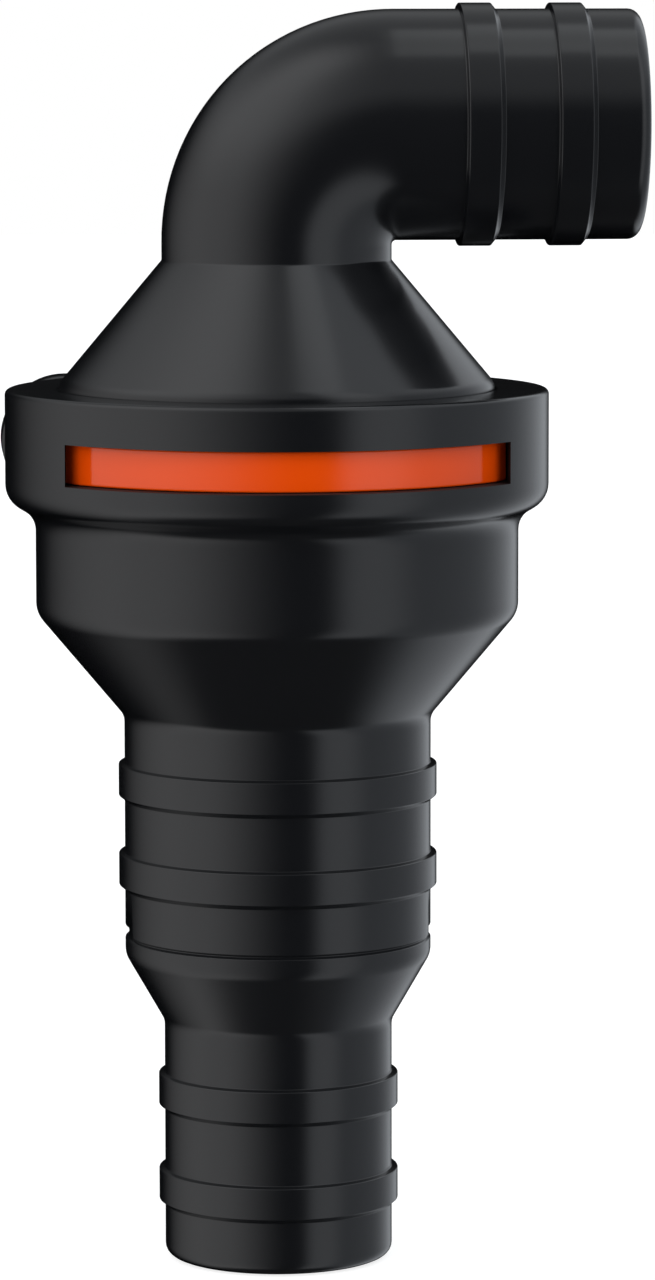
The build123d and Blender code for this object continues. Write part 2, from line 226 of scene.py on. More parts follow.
# Lower body: one black moulded housing. Its inlet tail takes two hose sizes, a collar carries the clip's
# window, and a plate with two pilot holes at the back mounts it. Sizes are millimetres, as moulded.
small_tail_radius = 14.2
large_tail_radius = 19.05
shell_radius = 29.9
collar_radius = 33.62
small_bore = 11.6
large_bore = 16.45
body_bore = 27.05
ledge_radius = 24.6
tail_tip_round = 1.45
reducer_bottom = 29.85
reducer_top = 38.25
cone_bottom = 68.2
cone_top = 81.13
shell_top = 93.03
collar_bottom = 95.19
bore_step_bottom = 30.55
bore_step_top = 38.95
bore_funnel = 69.15
ledge_height = 80.83
cut_line_bottom = 40.25
cut_line_top = 40.85
cut_line_floor = 18.65
barb_height = 0.745
barb_band = 4.05
barb_slope = 0.6
flank_lean = 0.2
small_barb_flanks = (11.25, 23.3)
large_barb_flanks = (51.1, 62.3)
collar_top = 108.74
window_bottom = 98.34
window_top = 103.44
window_half_width = 26.9
window_reach = 13.0
window_front = 40
plate_middle = 100.29
plate_front = 25.19
plate_back = 34.19
plate_hole_offset = 25.25
plate_end_radius = 8.2
pilot_radius = 2.1
pilot_depth = 7.5
nick_bottom = 40.6
nick_top = 42.0
nick_depth = 0.6
nick_half_length = 10
core_bottom = 80
core_top = 120
cut_overshoot = 1
small_overshoot = 0.5
round_steps = 180


def rounded_outline(corners, closed=True):
    """The line through corners of (radius, height, rounding), with an arc at each rounded corner.

    The arc touches both sides of its corner at rounding / tan(half the angle between them), and its
    points are the first spoke turned evenly into the last. Two more points, a little way out on
    the straight sides, keep their shading flat. Points that fall together are dropped.
    """
    corners = np.array(corners, float)
    place = corners[:, :2]
    rounding = corners[:, 2]
    ahead = np.roll(place, -1, axis=0) - place
    length_ahead = np.linalg.norm(ahead, axis=1)
    ahead = ahead / length_ahead[:, None]
    back = -np.roll(ahead, 1, axis=0)
    half = np.arccos(np.clip((back * ahead).sum(axis=1), -1, 1)) / 2
    reach = np.where(rounding > 0, rounding / np.tan(half), 0)
    room_ahead = length_ahead - reach - np.roll(reach, -1)
    room_back = np.roll(room_ahead, 1)
    bisector = back + ahead
    bisector_length = np.linalg.norm(bisector, axis=1)
    bisector = bisector / np.maximum(bisector_length, 1e-9)[:, None]
    centre = place + bisector * (rounding / np.sin(half))[:, None]
    first = place + back * reach[:, None]
    last = place + ahead * reach[:, None]
    turn = pi - 2 * half
    safe = np.maximum(np.sin(turn), 1e-9)[:, None]
    share = np.linspace(0, 1, 7)
    weights = [(np.sin((1 - s) * turn)[:, None] / safe, np.sin(s * turn)[:, None] / safe) for s in share]
    arc = np.stack([centre + a * (first - centre) + b * (last - centre) for a, b in weights], axis=1)
    arc = np.where((rounding > 0)[:, None, None], arc, place[:, None])
    support = 0.15
    before = place + back * (reach + np.minimum(support, room_back / 3))[:, None]
    after = place + ahead * (reach + np.minimum(support, room_ahead / 3))[:, None]
    line = np.concatenate([before[:, None], arc, after[:, None]], axis=1).reshape(-1, 2)
    if not closed:
        line = line[1:-1]
    gap = np.linalg.norm(line - np.roll(line, 1, axis=0), axis=1)
    return line[gap > 1e-5]


def upright_path(along):
    """The valve's own axis: middle points on Z at these heights, and two directions across it."""
    zero = np.zeros_like(along)
    one = np.ones_like(along)
    middle = np.stack([zero, zero, along], axis=1)
    return middle, np.stack([one, zero, zero], axis=1), np.stack([zero, one, zero], axis=1)


def turned_piece(name, corners, steps, path=upright_path, closed=True):
    """A shape turned about a path from an outline whose corners are rounded."""
    return turned_line(name, rounded_outline(corners, closed), steps, path, closed)


def turned_line(name, line, steps, path=upright_path, closed=True):
    """A turned shape: each point (radius, height) of the line becomes a ring about the path, at
    middle + radius * (cosine of the turn * first direction + sine of the turn * second direction)."""
    middle, first, second = path(line[:, 1])
    turn = np.linspace(0, 2 * pi, steps, endpoint=False)[None, :, None]
    spokes = np.cos(turn) * first[:, None] + np.sin(turn) * second[:, None]
    points = middle[:, None] + line[:, 0][:, None, None] * spokes
    return mesh_object(name, points, closed_across=closed, scale=0.001)


def prism(name, outline, low, high, upright="Z"):
    """A flat shape with straight sides: the outline's two columns lie across the upright axis, and
    each point is repeated at low and at high along it. Its two ends are flat faces."""
    count = len(outline)
    level = np.repeat([low, high], count)
    flat = np.concatenate([outline, outline])
    columns = {"Z": (flat[:, 0], flat[:, 1], level), "Y": (flat[:, 0], level, flat[:, 1])}[upright]
    points = np.stack(columns, axis=1) * 0.001
    number = np.arange(count)
    following = (number + 1) % count
    sides = np.stack([number, following, following + count, number + count], axis=1).tolist()
    mesh = bpy.data.meshes.new(name)
    mesh.from_pydata(points.tolist(), [], sides + [number.tolist(), (number + count).tolist()])
    finish_mesh(mesh)
    made = bpy.data.objects.new(name, mesh)
    bpy.context.scene.collection.objects.link(made)
    return made


def bake_modifiers(piece):
    """Puts what the piece's modifiers make into its own mesh."""
    graph = bpy.context.evaluated_depsgraph_get()
    baked = bpy.data.meshes.new_from_object(piece.evaluated_get(graph))
    piece.modifiers.clear()
    piece.data = baked
    finish_mesh(baked)


def combine(piece, tool, operation):
    """Joins the tool's solid to the piece (UNION), cuts it out (DIFFERENCE) or keeps what they share
    (INTERSECT), and removes the tool. Its faces keep its finish, or take the piece's if it has none."""
    if not tool.data.materials:
        tool.data.materials.append(piece.data.materials[0])
    step = piece.modifiers.new("combine", "BOOLEAN")
    step.operation = operation
    step.solver = "MANIFOLD"
    step.material_mode = "TRANSFER"
    step.object = tool
    bake_modifiers(piece)
    bpy.data.objects.remove(tool)


def soften_edges(piece, width, segments=3):
    """Rounds the piece's sharp edges to this width in millimetres."""
    bevel = piece.modifiers.new("edges", "BEVEL")
    bevel.width = width * 0.001
    bevel.segments = segments
    bevel.limit_method = "ANGLE"
    bevel.angle_limit = radians(40)
    bevel.harden_normals = True


def barb_corners(radius, flank, way):
    """A hose barb on a turned outline: its steep flank, the band of its crest, and the foot of its slope."""
    crest = radius + barb_height
    return [(radius, flank, 0.12), (crest, flank + way * flank_lean, 0.15),
            (crest, flank + way * barb_band, 0.15), (radius, flank + way * (barb_band + barb_slope), 0.12)]


def ring_points(radius, steps, across=0.0, up=0.0):
    """A circle of this radius as a line of points, about (across, up)."""
    turn = np.linspace(0, 2 * pi, steps, endpoint=False)
    return np.stack([across + radius * np.cos(turn), up + radius * np.sin(turn)], axis=1)


def group_socket(group, name, kind, way, value=None):
    """Adds an input or output socket to a node group."""
    socket = group.interface.new_socket(name=name, in_out=way, socket_type=kind)
    if value is not None:
        socket.default_value = value
    return socket


# The fine skin that a mould leaves: a roughness that wanders a little, and a very shallow grain.
moulded_skin = bpy.data.node_groups.new("moulded_skin", "ShaderNodeTree")
group_socket(moulded_skin, "Grain Size", "NodeSocketFloat", "INPUT", 0.0004)
group_socket(moulded_skin, "Roughness", "NodeSocketFloat", "INPUT", 0.2)
group_socket(moulded_skin, "Wander", "NodeSocketFloat", "INPUT", 0.05)
group_socket(moulded_skin, "Roughness", "NodeSocketFloat", "OUTPUT")
group_socket(moulded_skin, "Grain", "NodeSocketFloat", "OUTPUT")
skin_in = moulded_skin.nodes.new("NodeGroupInput").outputs
skin_place = add_node(moulded_skin, "ShaderNodeTexCoord").outputs["Object"]
grain_scale = math_node(moulded_skin, "DIVIDE", 1.0, skin_in["Grain Size"])
grain = add_node(moulded_skin, "ShaderNodeTexNoise",
                 {"Vector": skin_place, "Scale": grain_scale, "Detail": 3.0, "Roughness": 0.6})
cloud = add_node(moulded_skin, "ShaderNodeTexNoise",
                 {"Vector": skin_place, "Scale": 55.0, "Detail": 4.0, "Roughness": 0.55})
cloud_offset = math_node(moulded_skin, "SUBTRACT", cloud.outputs[0], 0.5)
skin_wander = math_node(moulded_skin, "MULTIPLY", cloud_offset, skin_in["Wander"])
skin_roughness = math_node(moulded_skin, "ADD", skin_in["Roughness"], skin_wander)
add_node(moulded_skin, "NodeGroupOutput", {"Roughness": skin_roughness, "Grain": grain.outputs[0]})


def plastic(name, colour, roughness, wander, grain_size, grain_depth):
    """A moulded plastic: one colour, the mould's skin in its roughness, and its grain as a bump."""
    finish = bpy.data.materials.new(name)
    finish.use_nodes = True
    tree = finish.node_tree
    tree.nodes.clear()
    skin = add_node(tree, "ShaderNodeGroup", node_tree=moulded_skin)
    skin.inputs["Grain Size"].default_value = grain_size
    skin.inputs["Roughness"].default_value = roughness
    skin.inputs["Wander"].default_value = wander
    bump = add_node(tree, "ShaderNodeBump",
                    {"Height": skin.outputs["Grain"], "Distance": grain_depth, "Strength": 1.0})
    shade = add_node(tree, "ShaderNodeBsdfPrincipled",
                     {"Base Color": (*colour, 1), "Roughness": skin.outputs["Roughness"],
                      "IOR": 1.5, "Normal": bump.outputs[0]})
    add_node(tree, "ShaderNodeOutputMaterial", {"Surface": shade.outputs[0]})
    return finish


housing_black = plastic("housing_black", (0.0056, 0.0060, 0.0070), 0.2, 0.04, 0.0005, 0.0000012)
small_barbs = [barb_corners(small_tail_radius, flank, -1)[::-1] for flank in small_barb_flanks]
large_barbs = [barb_corners(large_tail_radius, flank, -1)[::-1] for flank in large_barb_flanks]
lower_corners = [
    (small_bore, 0, 0.6), (small_tail_radius, 0, tail_tip_round), *small_barbs[0], *small_barbs[1],
    (small_tail_radius, reducer_bottom, 2.5), (large_tail_radius, reducer_top, 3.0),
    (large_tail_radius, cut_line_bottom, 0.1),
    (cut_line_floor, (cut_line_bottom + cut_line_top) / 2, 0.08),
    (large_tail_radius, cut_line_top, 0.1), *large_barbs[0], *large_barbs[1],
    (large_tail_radius, cone_bottom, 2.4), (shell_radius, cone_top, 3.4), (shell_radius, shell_top, 3.0),
    (collar_radius, collar_bottom, 3.2), (collar_radius, collar_top, 0.65), (body_bore, collar_top, 0.4),
    (body_bore, ledge_height, 0.3), (ledge_radius, ledge_height, 0.3), (large_bore, bore_funnel, 1.0),
    (large_bore, bore_step_top, 1.0), (small_bore, bore_step_bottom, 1.0)]
lower_body = turned_piece("lower_body_housing", lower_corners, round_steps)
lower_body.data.materials.append(housing_black)

half_turn = np.linspace(-pi / 2, pi / 2, 33)
plate_end = np.stack([plate_hole_offset + plate_end_radius * np.cos(half_turn),
                      plate_middle + plate_end_radius * np.sin(half_turn)], axis=1)
plate_outline = np.concatenate([plate_end, plate_end * [-1, -1] + [0, 2 * plate_middle]])
plate = prism("mounting_plate", plate_outline, plate_front, plate_back, "Y")
plate.data.materials.append(housing_black)
soften_edges(plate, 0.45)
bake_modifiers(plate)
core_radius = 0.5 * (body_bore + shell_radius)
bore_core = prism("bore_core", ring_points(core_radius, 90), core_bottom, core_top)
combine(plate, bore_core, "DIFFERENCE")
combine(lower_body, plate, "UNION")
window_outline = np.array([(-window_half_width, -window_front), (window_half_width, -window_front),
                           (window_half_width, window_reach), (-window_half_width, window_reach)])
# The window's cut faces get a dull black a little darker than the housing's. The darker colour is painted
# shade inside the window; the dullness is their roughness.
window_painted_shade = plastic("window_painted_shade", (0.004, 0.004, 0.0045), 0.75, 0.05, 0.0004, 0.00001)
window = prism("window", window_outline, window_bottom, window_top)
window.data.materials.append(window_painted_shade)
combine(lower_body, window, "DIFFERENCE")
for side in (-1, 1):
    pilot = ring_points(pilot_radius, 40, side * plate_hole_offset, plate_middle)
    pilot_hole = prism("pilot", pilot, plate_back - pilot_depth, plate_back + cut_overshoot, "Y")
    combine(lower_body, pilot_hole, "DIFFERENCE")
    nick_floor = side * (large_tail_radius - nick_depth)
    nick_mouth = side * (large_tail_radius + cut_overshoot)
    nick_outline = np.array([(nick_floor, -nick_half_length), (nick_mouth, -nick_half_length),
                             (nick_mouth, nick_half_length), (nick_floor, nick_half_length)])
    combine(lower_body, prism("side_nick", nick_outline, nick_bottom, nick_top), "DIFFERENCE")
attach(lower_body, "valve_body")
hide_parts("lower_body")

# Outlet elbow: one black moulding that turns in the body. A grooved spigot sits in the collar, a cone
# narrows it to the riser, and a quarter bend leads into the outlet's hose tail with two barbs.
spigot_radius = 26.9
spigot_bore = 21.7
spigot_bottom = 86.13
ring_groove_floor = 24.6
ring_groove_width = 3.2
ring_heights = (89.74, 95.04)
clip_groove_floor = 23.6
clip_groove_width = 5.2
shoulder_height = 109.44
riser_bottom = 124.58
funnel_bottom = 111.59
funnel_top = 123.63
bend_start = 126.43
bend_radius = 14.7
bend_bulge = 0.23
outlet_length = 44.83
outlet_barb_flanks = (22.3, 33.5)
bend_end = bend_start + bend_radius * pi / 2
outlet_start = bend_end - bend_radius


def bend_swell(along):
    """How far the bend's side is out beyond the straight tubes: a half wave over the quarter turn."""
    turn = np.clip((along - bend_start) / bend_radius, 0, pi / 2)
    return bend_bulge / 2 * np.sin(2 * turn) ** 1.2


def elbow_path(along):
    """The elbow's middle line: up Z to the bend's start, round a quarter circle towards +X, then straight.

    The turn is the distance past the bend's start over its radius, kept between 0 and a quarter circle.
    The first direction points away from the bend's centre, and the second is always Y. The middle moves
    out by the bend's swell, so that only its outer side bulges and its inner side keeps its place.
    """
    turn = np.clip((along - bend_start) / bend_radius, 0, pi / 2)
    past_bend = np.maximum(along - bend_end, 0)
    zero = np.zeros_like(along)
    one = np.ones_like(along)
    middle = np.stack([bend_radius * (1 - np.cos(turn)) + past_bend, zero,
                       np.minimum(along, bend_start) + bend_radius * np.sin(turn)], axis=1)
    first = np.stack([-np.cos(turn), zero, np.sin(turn)], axis=1)
    middle = middle + first * bend_swell(along)[:, None]
    return middle, first, np.stack([zero, one, zero], axis=1)


def groove_corners(middle, width, floor_radius):
    """A square groove in the spigot's side, from its lower lip to its upper lip."""
    low = middle - width / 2
    high = middle + width / 2
    return [(spigot_radius, low, 0.2), (floor_radius, low, 0.15),
            (floor_radius, high, 0.15), (spigot_radius, high, 0.2)]


bend_stations = np.linspace(bend_start, bend_end, 31)
outlet_barbs = [barb_corners(small_tail_radius, outlet_start + flank, 1) for flank in outlet_barb_flanks]
outlet_tip = outlet_start + outlet_length
elbow_corners = [
    (spigot_bore, spigot_bottom, 0.3), (spigot_radius, spigot_bottom, 0.8),
    *groove_corners(ring_heights[0], ring_groove_width, ring_groove_floor),
    *groove_corners(ring_heights[1], ring_groove_width, ring_groove_floor),
    *groove_corners((window_bottom + window_top) / 2, clip_groove_width, clip_groove_floor),
    (spigot_radius, shoulder_height, 2.0), (small_tail_radius, riser_bottom, 0.35),
    *[(small_tail_radius + bend_swell(station), station, 0) for station in bend_stations],
    *outlet_barbs[0], *outlet_barbs[1],
    (small_tail_radius, outlet_tip, tail_tip_round), (small_bore, outlet_tip, 0.6),
    *[(small_bore, station, 0) for station in bend_stations[::-1]],
    (small_bore, funnel_top, 1.0), (spigot_bore, funnel_bottom, 1.0)]
elbow = turned_piece("outlet_elbow_housing", elbow_corners, 144, elbow_path)
elbow.data.materials.append(housing_black)
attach(elbow, "elbow")
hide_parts("outlet_elbow")

# Retaining clip: a flat orange U of moulded plastic. Its round front shows in the window, and its arms
# grip the groove in the spigot, so that the elbow turns but can't lift.
clip_bottom = 98.42
clip_top = 103.29
clip_radius = 31.34
clip_half_width = 26.7
clip_inner_radius = 23.8
clip_arm_end = 12.5
clip_tip_chamfer = 0.8

clip_corner_turn = np.arcsin(clip_half_width / clip_radius)
front_turn = np.linspace(-clip_corner_turn, clip_corner_turn, 97)
clip_front = np.stack([clip_radius * np.sin(front_turn), -clip_radius * np.cos(front_turn)], axis=1)
inner_turn = np.linspace(pi / 2, -pi / 2, 97)
clip_inside = clip_inner_radius * np.stack([np.sin(inner_turn), -np.cos(inner_turn)], axis=1)
right_tip = np.array([(clip_half_width, clip_arm_end - clip_tip_chamfer),
                      (clip_half_width - clip_tip_chamfer, clip_arm_end),
                      (clip_inner_radius + clip_tip_chamfer, clip_arm_end),
                      (clip_inner_radius, clip_arm_end - clip_tip_chamfer)])
left_tip = right_tip[::-1] * [-1, 1]
clip_outline = np.concatenate([clip_front, right_tip, clip_inside, left_tip])
clip = prism("retaining_clip_part", clip_outline, clip_bottom, clip_top)
soften_edges(clip, 0.25)
clip_orange = plastic("clip_orange", (0.80, 0.070, 0.001), 0.12, 0.03, 0.0006, 0.000001)
clip.data.materials.append(clip_orange)
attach(clip, "clip")
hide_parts("retaining_clip")

# Spigot O-rings: two black rubber rings in the elbow's grooves, each turned from a round section. They
# are dull, so that they read as rubber beside the glossy plastic.
o_ring_middle = 25.8
o_ring_cord_radius = 1.2


def rubber(name, colour, roughness, mottle):
    """A rubber: dull, with a fine mottle in its colour and a shallow grain."""
    finish = bpy.data.materials.new(name)
    finish.use_nodes = True
    tree = finish.node_tree
    tree.nodes.clear()
    skin = add_node(tree, "ShaderNodeGroup", node_tree=moulded_skin)
    skin.inputs["Grain Size"].default_value = 0.0003
    skin.inputs["Roughness"].default_value = roughness
    skin.inputs["Wander"].default_value = 0.15
    shift = math_node(tree, "MULTIPLY", skin.outputs["Grain"], mottle)
    lift = math_node(tree, "ADD", shift, 1 - mottle / 2)
    tone = add_node(tree, "ShaderNodeVectorMath", {0: colour, "Scale": lift}, operation="SCALE")
    bump = add_node(tree, "ShaderNodeBump",
                    {"Height": skin.outputs["Grain"], "Distance": 0.00001, "Strength": 1.0})
    shade = add_node(tree, "ShaderNodeBsdfPrincipled",
                     {"Base Color": tone.outputs[0], "Roughness": skin.outputs["Roughness"],
                      "IOR": 1.5, "Normal": bump.outputs[0]})
    add_node(tree, "ShaderNodeOutputMaterial", {"Surface": shade.outputs[0]})
    return finish


seal_black = rubber("seal_black", (0.020, 0.020, 0.021), 0.55, 0.5)
for node, height in zip(("spigot_o_ring_lower", "spigot_o_ring_upper"), ring_heights):
    section = ring_points(o_ring_cord_radius, 20, o_ring_middle, height)
    o_ring = turned_line(node + "_rubber", section, 144)
    o_ring.data.materials.append(seal_black)
    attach(o_ring, "elbow")
    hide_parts(node)

# Seat gasket: a flat black rubber ring on the body's inner ledge, turned from a section with small rounds.
gasket_bore = 24.8
gasket_radius = 26.85
gasket_top = 82.33
gasket_corners = [(gasket_bore, ledge_height, 0.2), (gasket_radius, ledge_height, 0.2),
                  (gasket_radius, gasket_top, 0.2), (gasket_bore, gasket_top, 0.2)]
gasket = turned_piece("seat_gasket_rubber", gasket_corners, 120)
gasket.data.materials.append(seal_black)
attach(gasket, "valve_body")
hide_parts("seat_gasket")

# Seat ring: grey moulded plastic with a raised lip that the flap's seal meets. Its ring is turned; two ears
# with the pin's holes, each with a finger that stops the flap, are joined to it.
flange_top = 86.03
seat_lip_top = 87.03
seat_lip_radius = 15.2
seat_bore = 13.8
seat_entry_radius = 16.0
seat_entry_top = 84.53
hinge_offset = 17.6
hinge_height = 91.63
ear_inner = 4.4
ear_outer = 6.2
ear_radius = 2.7
ear_half_width = 1.8
pin_radius = 1.5
stop_lean = 70
stop_reach = 6.8
stop_front = -0.1
stop_back = 1.5
ear_sink = 0.4
hole_play = 0.005

grey_plastic = plastic("grey_plastic", (0.30, 0.31, 0.32), 0.38, 0.08, 0.0005, 0.000004)
seat_corners = [
    (seat_entry_radius, gasket_top, 0.15), (gasket_radius, gasket_top, 0.25),
    (gasket_radius, flange_top, 0.3), (seat_lip_radius, flange_top, 0.2),
    (seat_lip_radius, seat_lip_top, 0.4), (seat_bore, seat_lip_top, 0.3), (seat_bore, seat_entry_top, 0.4)]
seat_ring = turned_piece("seat_ring_moulding", seat_corners, 144)
seat_ring.data.materials.append(grey_plastic)


def hinge_arc(radius, start, end, steps):
    """Points on a circle about the hinge, between two angles in degrees, as (across, up) offsets."""
    turn = np.radians(np.linspace(start, end, steps))
    return np.stack([radius * np.cos(turn), radius * np.sin(turn)], axis=1)


def hinge_prism(name, outline, low, high):
    """A flat shape across the hinge's pin, from offsets about the pin, between two places along it."""
    return prism(name, outline + np.array([-hinge_offset, hinge_height]), low, high, "Y")


lean = radians(stop_lean)
along = np.array([np.cos(lean), np.sin(lean)])
across = np.array([-np.sin(lean), np.cos(lean)])
foot_turn = np.degrees(np.arccos(ear_half_width / ear_radius))
front_meets = stop_lean + np.degrees(np.arcsin(stop_front / ear_radius))
back_meets = stop_lean + np.degrees(np.arcsin(stop_back / ear_radius))
foot = flange_top - ear_sink - hinge_height
ear_outline = np.concatenate([
    [(ear_half_width, foot)], hinge_arc(ear_radius, -foot_turn, front_meets, 21),
    [along * stop_reach + across * stop_front, along * stop_reach + across * stop_back],
    hinge_arc(ear_radius, back_meets, 180 + foot_turn, 21), [(-ear_half_width, foot)]])
for side in (-1, 1):
    low, high = sorted((side * ear_inner, side * ear_outer))
    ear = hinge_prism("ear", ear_outline, low, high)
    soften_edges(ear, 0.18, 2)
    bake_modifiers(ear)
    pin_circle = ring_points(pin_radius + hole_play, 48)
    pin_hole = hinge_prism("pin_hole", pin_circle, low - cut_overshoot, high + cut_overshoot)
    ear.data.materials.append(grey_plastic)
    combine(ear, pin_hole, "DIFFERENCE")
    combine(seat_ring, ear, "UNION")
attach(seat_ring, "valve_body")
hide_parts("seat_ring")

# Hinge pin: a turned steel rod with softened ends, pressed into the seat ring's ears.
pin_end = 6.6


def hinge_path(along_pin):
    """The hinge's own axis: middle points along Y at the hinge, and the two directions across it."""
    zero = np.zeros_like(along_pin)
    one = np.ones_like(along_pin)
    middle = np.stack([zero - hinge_offset, along_pin, zero + hinge_height], axis=1)
    return middle, np.stack([one, zero, zero], axis=1), np.stack([zero, zero, one], axis=1)


def metal(name, colour, roughness, wander, line_size, line_depth):
    """A metal with fine lines round the valve's axis: a noise that is long round Z and short along it."""
    finish = bpy.data.materials.new(name)
    finish.use_nodes = True
    tree = finish.node_tree
    tree.nodes.clear()
    place = add_node(tree, "ShaderNodeTexCoord").outputs["Object"]
    parts = add_node(tree, "ShaderNodeSeparateXYZ", {0: place}).outputs
    squared = math_node(tree, "ADD", math_node(tree, "MULTIPLY", parts["X"], parts["X"]),
                        math_node(tree, "MULTIPLY", parts["Y"], parts["Y"]))
    reach = math_node(tree, "SQRT", squared)
    lines_at = add_node(tree, "ShaderNodeCombineXYZ", {0: reach, 1: parts["Z"]}).outputs[0]
    lines = add_node(tree, "ShaderNodeTexNoise",
                     {"Vector": lines_at, "Scale": 1 / line_size, "Detail": 2.0, "Roughness": 0.5})
    patch = add_node(tree, "ShaderNodeTexNoise",
                     {"Vector": place, "Scale": 400.0, "Detail": 3.0, "Roughness": 0.6})
    offset = math_node(tree, "SUBTRACT", patch.outputs[0], 0.5)
    wandering = math_node(tree, "MULTIPLY", offset, wander)
    dull = math_node(tree, "ADD", wandering, roughness)
    bump = add_node(tree, "ShaderNodeBump",
                    {"Height": lines.outputs[0], "Distance": line_depth, "Strength": 1.0})
    shade = add_node(tree, "ShaderNodeBsdfPrincipled",
                     {"Base Color": (*colour, 1), "Metallic": 1.0, "Roughness": dull,
                      "Normal": bump.outputs[0]})
    add_node(tree, "ShaderNodeOutputMaterial", {"Surface": shade.outputs[0]})
    return finish


steel_finish = metal("steel_finish", (0.55, 0.56, 0.57), 0.3, 0.15, 0.0002, 0.000002)
pin_corners = [(0, -pin_end, 0), (pin_radius, -pin_end, 0.25), (pin_radius, pin_end, 0.25), (0, pin_end, 0)]
hinge_pin = turned_piece("hinge_pin_rod", pin_corners, 48, hinge_path, closed=False)
hinge_pin.data.materials.append(steel_finish)
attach(hinge_pin, "valve_body")
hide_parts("hinge_pin")

# Flap arm: the flap's grey moulded plate, turned with a centre hole, and two knuckles with ribs that are
# joined to it and bored for the bushes.
seal_top = 89.23
arm_top = 91.23
screw_hole = 2.05
arm_radius = 13.5
rib_reach = 12.0
rib_rise = 1.2
rib_sink = 0.05
knuckle_inner = 2.4
knuckle_outer = 4.2
bush_radius = 2.1

arm_corners = [(screw_hole, seal_top, 0.15), (arm_radius, seal_top, 0.3),
               (arm_radius, arm_top, 0.35), (screw_hole, arm_top, 0.15)]
flap_arm = turned_piece("flap_arm_moulding", arm_corners, 120)
flap_arm.data.materials.append(grey_plastic)
rib_low = seal_top + rib_sink - hinge_height
rib_end = arm_top - hinge_height
rib_start = arm_top + rib_rise - hinge_height
bottom_meets = np.degrees(np.arcsin(-rib_low / ear_radius))
slope = (rib_end - rib_start) / rib_reach
meet_across = ((-slope * rib_start + np.sqrt((slope * rib_start) ** 2 - (1 + slope ** 2)
                                             * (rib_start ** 2 - ear_radius ** 2))) / (1 + slope ** 2))
top_meets = np.degrees(np.arctan2(rib_start + slope * meet_across, meet_across))
knuckle_outline = np.concatenate([
    [(rib_reach, rib_low), (rib_reach, rib_end)],
    hinge_arc(ear_radius, top_meets, 360 - bottom_meets, 41)])
for side in (-1, 1):
    low, high = sorted((side * knuckle_inner, side * knuckle_outer))
    knuckle = hinge_prism("knuckle", knuckle_outline, low, high)
    soften_edges(knuckle, 0.15, 2)
    bake_modifiers(knuckle)
    knuckle.data.materials.append(grey_plastic)
    bush_circle = ring_points(bush_radius + hole_play, 48)
    bush_hole = hinge_prism("bush_hole", bush_circle, low - small_overshoot, high + small_overshoot)
    combine(knuckle, bush_hole, "DIFFERENCE")
    combine(flap_arm, knuckle, "UNION")
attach(flap_arm, "flap")
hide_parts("flap_arm")

# Flap bushes: two small turned brass sleeves in the knuckles, with a small round at each mouth.
bush_bore = 1.55
brass_finish = metal("brass_finish", (0.66, 0.48, 0.20), 0.28, 0.15, 0.0002, 0.000002)
bushes = None
for side in (-1, 1):
    low, high = sorted((side * knuckle_inner, side * knuckle_outer))
    bush_corners = [(bush_bore, low, 0.12), (bush_radius, low, 0.08),
                    (bush_radius, high, 0.08), (bush_bore, high, 0.12)]
    bush = turned_piece("bush", bush_corners, 48, hinge_path)
    bush.data.materials.append(brass_finish)
    if bushes is None:
        bushes = bush
    else:
        combine(bushes, bush, "UNION")
bushes.name = "flap_bushes_brass"
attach(bushes, "flap")
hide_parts("flap_bushes")

# Flap seal: a thick black rubber disc with rounded edges, turned with the screw's hole through it.
seal_bottom = 87.03
seal_radius = 16.0
seal_corners = [(screw_hole, seal_bottom, 0.1), (seal_radius, seal_bottom, 0.4),
                (seal_radius, seal_top, 0.4), (screw_hole, seal_top, 0.1)]
flap_seal = turned_piece("flap_seal_rubber", seal_corners, 120)
flap_seal.data.materials.append(seal_black)
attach(flap_seal, "flap")
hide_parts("flap_seal")

# Clamp disc: a turned steel plate that presses the seal against the arm from below.
clamp_bottom = 85.53
clamp_radius = 11.5
clamp_corners = [(screw_hole, clamp_bottom, 0.1), (clamp_radius, clamp_bottom, 0.3),
                 (clamp_radius, seal_bottom, 0.15), (screw_hole, seal_bottom, 0.1)]
clamp_disc = turned_piece("flap_clamp_steel", clamp_corners, 120)
clamp_disc.data.materials.append(steel_finish)
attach(clamp_disc, "flap")
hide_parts("flap_clamp_disc")

# Centre screw: steel, with a slotted cheese head below and a threaded end that stands out above the nut.
# Head and shank are turned, and the thread is a triangular wave that climbs the shank's end.
head_bottom = 83.63
head_radius = 3.6
shank_radius = 2.0
thread_bottom = 90.0
thread_pitch = 0.7
thread_depth = 0.22
screw_top = 96.23
tip_chamfer = 0.35
slot_half_length = 4
slot_half_width = 0.5
slot_depth = 0.9

head_line = rounded_outline([(0, head_bottom, 0), (head_radius, head_bottom, 0.8),
                             (head_radius, clamp_bottom, 0.1), (shank_radius, clamp_bottom, 0.05),
                             (shank_radius, thread_bottom, 0)], closed=False)
thread_heights = np.linspace(thread_bottom, screw_top - tip_chamfer, 90)
tip_line = [(shank_radius - tip_chamfer, screw_top), (0, screw_top)]
shank_line = np.stack([np.full_like(thread_heights, shank_radius), thread_heights], axis=1)
screw_line = np.concatenate([head_line[:-1], shank_line, tip_line])
screw_turn = np.linspace(0, 2 * pi, 72, endpoint=False)
screw_height = screw_line[:, 1][:, None]
wave = np.abs(((screw_height / thread_pitch - screw_turn[None, :] / (2 * pi)) % 1) * 2 - 1)
threaded = (screw_height > thread_bottom + 0.2) & (screw_line[:, 0][:, None] > shank_radius - 0.01)
screw_radius = screw_line[:, 0][:, None] - np.where(threaded, thread_depth * wave, 0)
screw_points = np.stack([screw_radius * np.cos(screw_turn), screw_radius * np.sin(screw_turn),
                         np.broadcast_to(screw_height, screw_radius.shape)], axis=-1)
screw = mesh_object("flap_screw_steel", screw_points, closed_across=False, scale=0.001)
screw.data.materials.append(steel_finish)
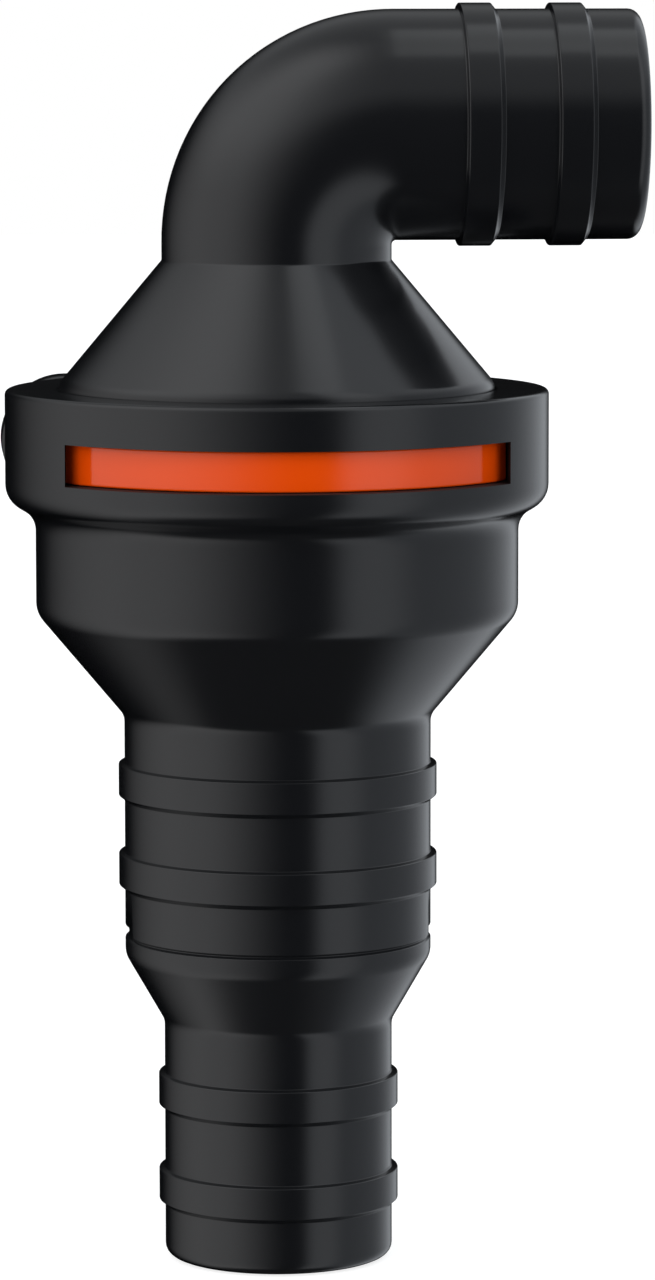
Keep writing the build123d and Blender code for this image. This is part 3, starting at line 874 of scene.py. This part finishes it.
slot_outline = np.array([(-slot_half_length, -slot_half_width), (slot_half_length, -slot_half_width),
                         (slot_half_length, slot_half_width), (-slot_half_length, slot_half_width)])
driver_slot = prism("driver_slot", slot_outline, head_bottom - small_overshoot, head_bottom + slot_depth)
combine(screw, driver_slot, "DIFFERENCE")
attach(screw, "flap")
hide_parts("flap_screw")

# Washer: a thin turned steel ring between the arm and the nut.
washer_top = 92.03
washer_radius = 3.9
washer_corners = [(screw_hole, arm_top, 0.08), (washer_radius, arm_top, 0.2),
                  (washer_radius, washer_top, 0.25), (screw_hole, washer_top, 0.08)]
washer = turned_piece("flap_washer_steel", washer_corners, 72)
washer.data.materials.append(steel_finish)
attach(washer, "flap")
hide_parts("flap_washer")

# Nut: a six-sided steel nut, cut from a turned blank whose chamfers round its corners above and below.
nut_flats = 7.0
nut_top = 95.23
nut_face_radius = 3.45
nut_chamfer = 0.34
nut_corner = nut_flats / 2 / np.cos(pi / 6)
blank_corners = [
    (screw_hole, washer_top, 0.15), (nut_face_radius, washer_top, 0.05),
    (nut_corner, washer_top + nut_chamfer, 0), (nut_corner, nut_top - nut_chamfer, 0),
    (nut_face_radius, nut_top, 0.05), (screw_hole, nut_top, 0.15)]
nut = turned_piece("flap_nut_steel", blank_corners, 96)
nut.data.materials.append(steel_finish)
nut_sides = prism("nut_sides", ring_points(nut_corner, 6),
                  washer_top - cut_overshoot, nut_top + cut_overshoot)
combine(nut, nut_sides, "INTERSECT")
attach(nut, "flap")
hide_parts("flap_nut")

# Return spring: a steel wire swept along its middle line, with a leg on the seat ring, four coils round
# the pin, and a straight leg to the flap's arm. The coil ends where that leg leaves it in a straight line.
wire_radius = 0.35
coil_radius = 2.25
coil_half_width = 1.85
coil_turns = 4
leg_reach = 10.6
fixed_leg_top = -0.4
fixed_leg_points = 12
wire_sides = 16

leg_lean = np.arccos(coil_radius / leg_reach)
coil_sweep = pi + 2 * pi * coil_turns - leg_lean
coil_share = np.linspace(0, 1, 150)
coil_turn = pi - coil_sweep * coil_share
fixed_height = np.linspace(flange_top - hinge_height, fixed_leg_top, fixed_leg_points)
fixed_leg = np.stack([np.full(fixed_leg_points, -coil_radius),
                      np.full(fixed_leg_points, -coil_half_width), fixed_height], axis=1)
coil = np.stack([coil_radius * np.cos(coil_turn), coil_half_width * (2 * coil_share - 1),
                 coil_radius * np.sin(coil_turn)], axis=1)
leg_share = np.linspace(0.06, 1, 16)[:, None]
moving_leg = coil[-1] * (1 - leg_share) + np.array([leg_reach, coil_half_width, 0]) * leg_share
wire_middle = np.concatenate([fixed_leg, coil, moving_leg]) + np.array([-hinge_offset, 0, hinge_height])
wire_along = np.gradient(wire_middle, axis=0)
wire_along = wire_along / np.linalg.norm(wire_along, axis=1)[:, None]
wire_first = np.cross(wire_along, [0, 1, 0])
wire_first = wire_first / np.linalg.norm(wire_first, axis=1)[:, None]
wire_second = np.cross(wire_along, wire_first)
wire_turn = np.linspace(0, 2 * pi, wire_sides, endpoint=False)[None, :, None]
wire_spokes = np.cos(wire_turn) * wire_first[:, None] + np.sin(wire_turn) * wire_second[:, None]
wire_rings = wire_middle[:, None] + wire_radius * wire_spokes
wire_ends = [np.broadcast_to(wire_middle[end], (1, wire_sides, 3)) for end in (0, -1)]
wire_points = np.concatenate([wire_ends[0], wire_rings, wire_ends[1]])
spring = mesh_object("return_spring_wire", wire_points, closed_across=False, scale=0.001)
spring.data.materials.append(steel_finish)
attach(spring, "valve_body")
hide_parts("return_spring")
